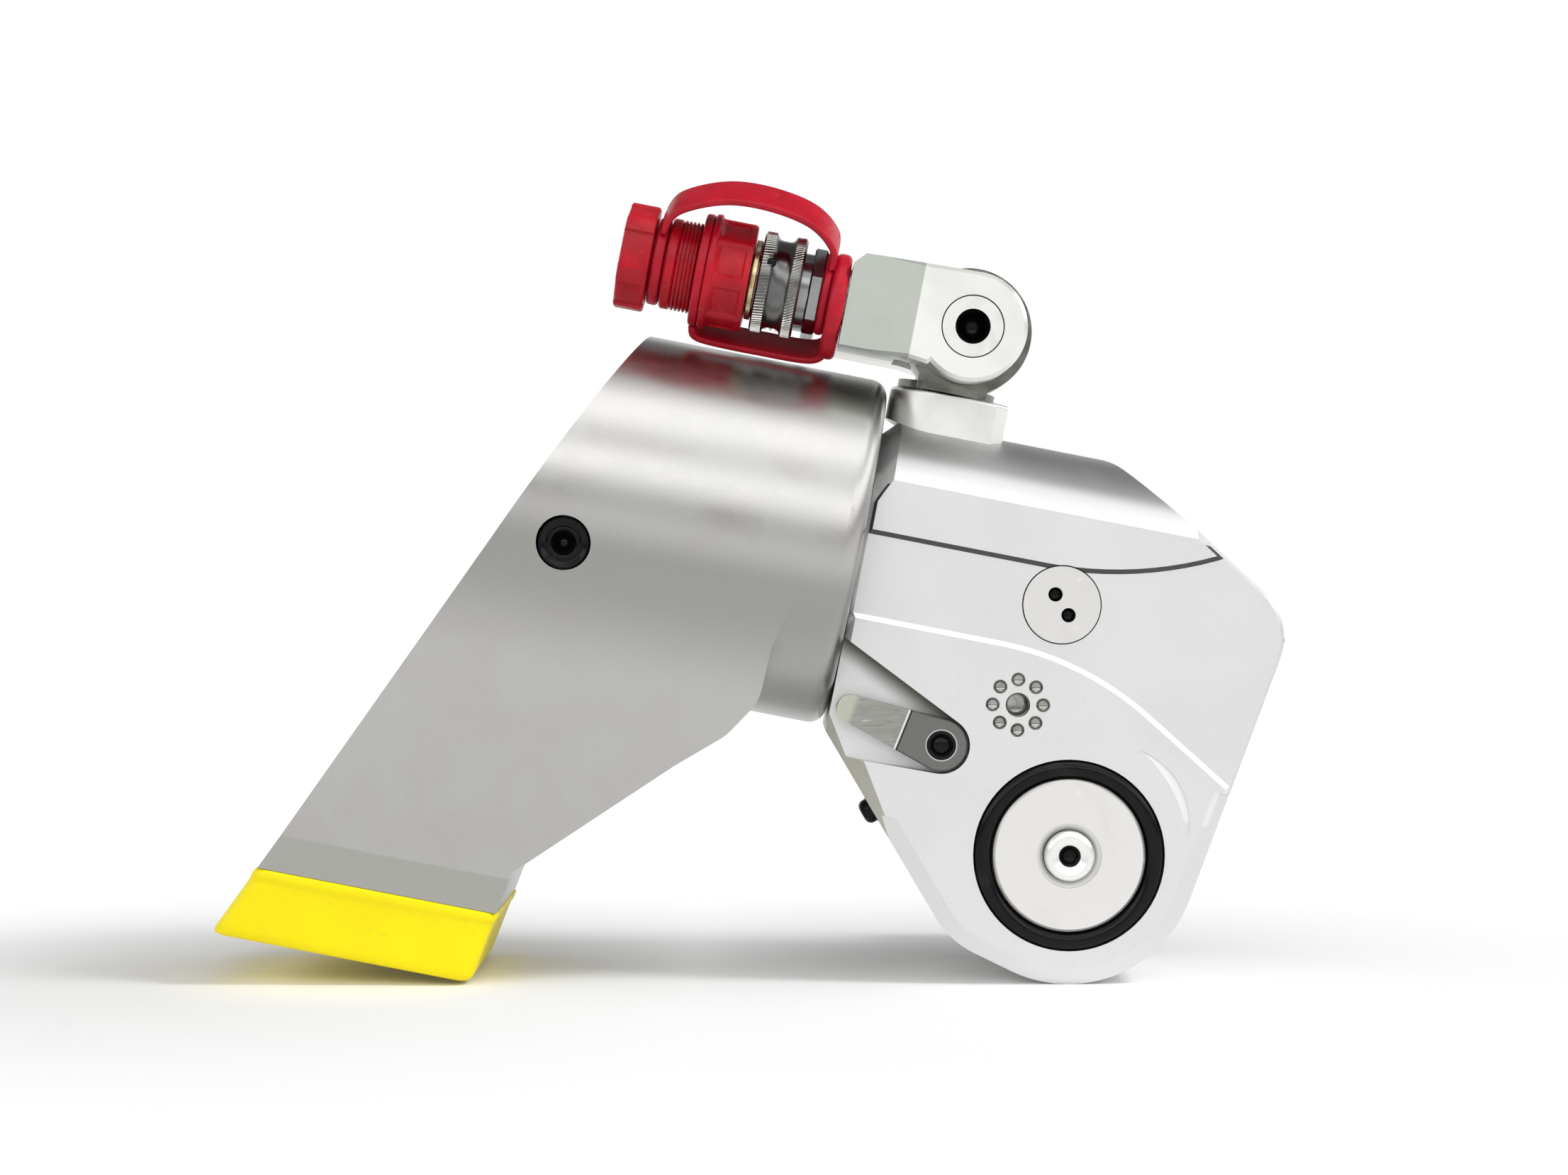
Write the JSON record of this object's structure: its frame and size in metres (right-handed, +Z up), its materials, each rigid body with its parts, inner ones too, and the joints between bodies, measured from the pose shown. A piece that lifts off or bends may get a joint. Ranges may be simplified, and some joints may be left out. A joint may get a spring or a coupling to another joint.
{
  "type": "hydraulic torque wrench",
  "caption": "Square-drive hydraulic torque wrench with a swivelling coupler block and a booted reaction arm on a splined neck.",
  "frame": {"origin": "on the square drive's axis, at the shoulder that a socket seats against", "axes": "+Y out of the square drive, towards the socket; +Z up as the tool stands on its boot and nose; +X from the reaction arm's boot towards the housing's nose"},
  "size_m": [0.2972, 0.1155, 0.2225],
  "materials": {
    "housing_aluminium": "satin, very light silver",
    "arm_aluminium": "satin, mid silver",
    "swivel_aluminium": "satin",
    "bright_steel": "machined",
    "dark_steel": "blackened",
    "polished_steel": "polished",
    "spring_steel": "drawn wire",
    "bronze_bushing": "machined",
    "coupler_brass": "worn",
    "black_rubber": "matte",
    "red_plastic": "satin moulded",
    "red_strap": "smooth flexible",
    "yellow_boot": "matte, scuffed"
  },
  "bodies": {
    "housing_body": {"housing": "housing_aluminium", "front_cover": "housing_aluminium", "front_cover_screws": "dark_steel", "cylinder_end_cap": "bright_steel", "end_cap_screws": "dark_steel", "end_cap_seal": "black_rubber", "rod_bushing": "bronze_bushing", "rod_seal": "black_rubber", "drive_bushings": "bronze_bushing", "drive_seal_rings": "black_rubber", "pawl_spring_plug": "dark_steel", "pawl_spring": "spring_steel", "access_plugs": "housing_aluminium", "swivel_base": "swivel_aluminium", "swivel_base_screws": "dark_steel"},
    "piston_body": {"piston_rod": "polished_steel", "piston": "bright_steel", "piston_seals": "black_rubber", "piston_nut": "dark_steel"},
    "drive_plates": {"drive_plate_near": "bright_steel", "drive_plate_far": "bright_steel", "rod_pin": "bright_steel", "drive_pawl_pin": "bright_steel", "spring_bridge": "bright_steel", "drive_pawl_springs": "spring_steel"},
    "driving_pawl": {"drive_pawl": "bright_steel"},
    "drive_shaft": {"ratchet": "bright_steel", "square_drive": "dark_steel", "retainer_disc": "bright_steel", "retainer_balls": "polished_steel", "retainer_spring": "spring_steel"},
    "retainer_push": {"retainer_button": "bright_steel"},
    "release": {"reaction_pawl": "bright_steel", "pawl_shaft": "bright_steel", "release_lever": "dark_steel", "lever_screw": "dark_steel"},
    "swivel_stem": {"swivel_post": "swivel_aluminium", "post_circlip": "spring_steel", "swivel_seals": "black_rubber"},
    "coupler_block": {"swivel_block": "swivel_aluminium", "swivel_pin": "dark_steel", "swivel_pin_nut": "dark_steel", "female_coupler": "polished_steel", "male_coupler": "polished_steel", "sleeve_spring": "spring_steel", "plug_strap": "red_strap", "cap_strap": "red_strap"},
    "sleeve": {"coupler_sleeve": "polished_steel"},
    "dust_cap_body": {"dust_cap": "red_plastic"},
    "dust_plug_body": {"dust_plug": "red_plastic"},
    "arm": {"reaction_arm": "arm_aluminium", "reaction_boot": "yellow_boot", "arm_lock_spring": "spring_steel"},
    "arm_lock": {"arm_lock_button": "bright_steel"}
  },
  "joints": [
    {"name": "piston_stroke", "type": "slide", "parent": "housing_body", "child": "piston_body", "axis": [0.9816, 0, -0.1908], "range_m": [0, 0.03032]},
    {"name": "plate_swing", "type": "hinge", "parent": "housing_body", "child": "drive_plates", "pos_m": [0, -0.0385, 0], "axis": [0, 1, 0], "range_deg": [0, 25.3]},
    {"name": "driving_pawl_lift", "type": "hinge", "parent": "drive_plates", "child": "driving_pawl", "pos_m": [-0.0092, -0.0385, 0.03532], "axis": [0, 1, 0], "range_deg": [-5, 0], "stiffness_Nm_per_rad": 1, "springref_deg": 8.59, "deforming": ["drive_pawl_springs"]},
    {"name": "drive_turn", "type": "hinge", "parent": "housing_body", "child": "drive_shaft", "pos_m": [0, -0.0385, 0], "axis": [0, 1, 0], "continuous": true},
    {"name": "retainer_push_in", "type": "slide", "parent": "drive_shaft", "child": "retainer_push", "axis": [0, 1, 0], "range_m": [0, 0.003], "stiffness_N_per_m": 2000, "springref_m": -0.002, "deforming": ["retainer_spring"]},
    {"name": "release_lever_lift", "type": "hinge", "parent": "housing_body", "child": "release", "pos_m": [-0.03533, -0.0385, 0.0305], "axis": [0, 1, 0], "range_deg": [0, 15], "stiffness_Nm_per_rad": 1.2, "springref_deg": -14.32, "deforming": ["pawl_spring"]},
    {"name": "swivel_turn", "type": "hinge", "parent": "housing_body", "child": "swivel_stem", "pos_m": [-0.03314, -0.0385, 0.12563], "axis": [0.1908, 0, 0.9816], "continuous": true},
    {"name": "swivel_tilt", "type": "hinge", "parent": "swivel_stem", "child": "coupler_block", "pos_m": [-0.02649, -0.0385, 0.14675], "axis": [0, 1, 0], "range_deg": [0, 180]},
    {"name": "sleeve_pull", "type": "slide", "parent": "coupler_block", "child": "sleeve", "axis": [0.9816, 0, -0.1908], "range_m": [0, 0.002], "stiffness_N_per_m": 2000, "springref_m": -0.002, "deforming": ["sleeve_spring"]},
    {"name": "dust_cap_pull", "type": "slide", "parent": "coupler_block", "child": "dust_cap_body", "axis": [-0.9816, 0, 0.1908], "range_m": [0, 0.012], "deforming": ["plug_strap", "cap_strap"]},
    {"name": "dust_plug_turn", "type": "hinge", "parent": "dust_cap_body", "child": "dust_plug_body", "pos_m": [-0.11049, -0.055, 0.16532], "axis": [0.9816, 0, -0.1908], "continuous": true},
    {"name": "arm_slide_off", "type": "slide", "parent": "housing_body", "child": "arm", "axis": [-0.9816, 0, 0.1908], "range_m": [0, 0.055]},
    {"name": "arm_lock_push", "type": "slide", "parent": "arm", "child": "arm_lock", "axis": [0, 1, 0], "range_m": [0, 0.005], "stiffness_N_per_m": 1500, "springref_m": -0.003, "deforming": ["arm_lock_spring"]}
  ],
  "couplings": [
    {"joint": "plate_swing", "follows": "piston_stroke", "rad_per_m": 14.505}
  ]
}
